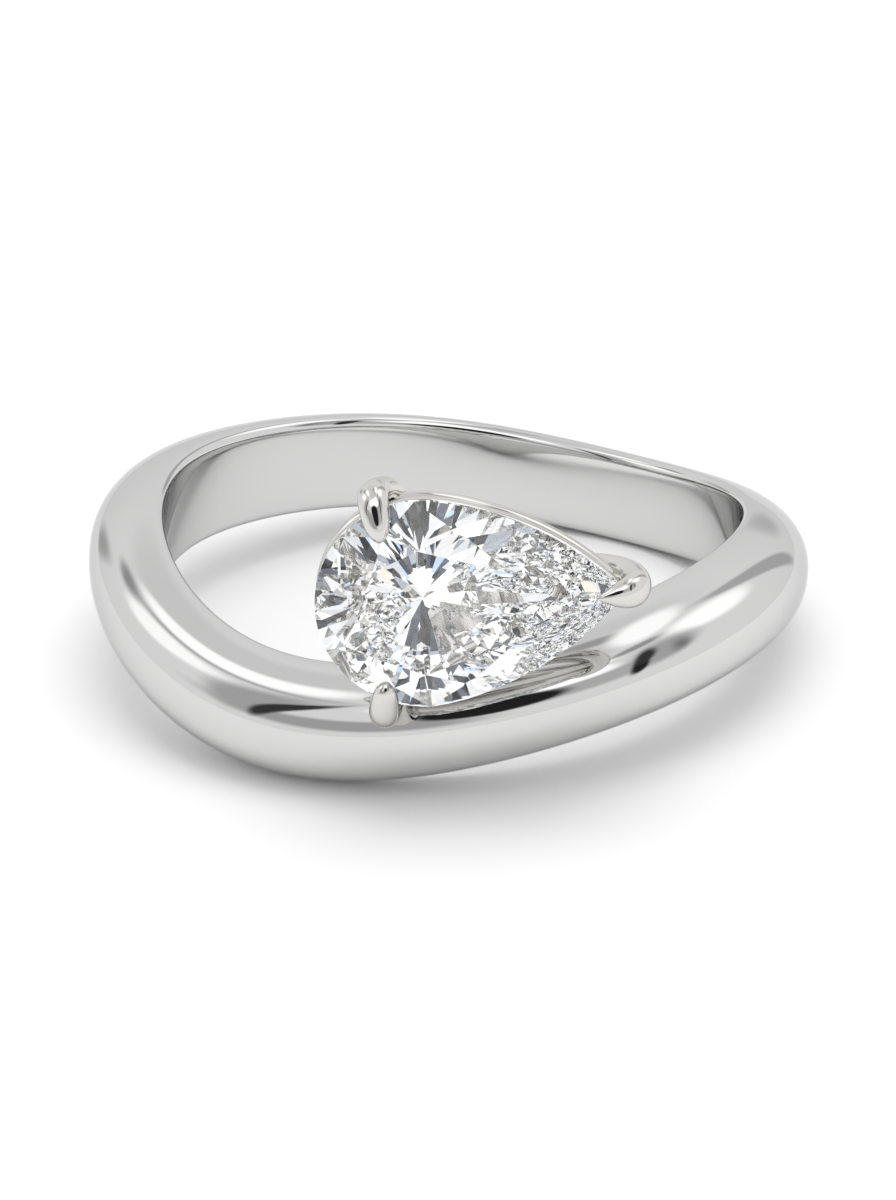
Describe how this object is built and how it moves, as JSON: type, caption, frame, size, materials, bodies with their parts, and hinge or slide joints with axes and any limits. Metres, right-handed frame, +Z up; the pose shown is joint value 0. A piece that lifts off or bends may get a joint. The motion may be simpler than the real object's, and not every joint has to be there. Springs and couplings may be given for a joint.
{
  "type": "solitaire engagement ring",
  "caption": "Polished white metal ring lying on its side, its band dipping in one long wave under a pear-cut stone held by claws at both ends.",
  "frame": {"origin": "on the surface the ring lies on, below the middle of its bounding box", "axes": "+Z up, along the finger apart from the lean that the ring rests at; -Y out through the stone; +X towards the stone's pointed tip"},
  "size_m": [0.0212, 0.0226, 0.01],
  "materials": {
    "metal": "mirror-polished white gold",
    "stone": "faceted colourless diamond"
  },
  "bodies": {
    "root": {"ring_body": "metal", "stone": "stone"}
  },
  "joints": []
}
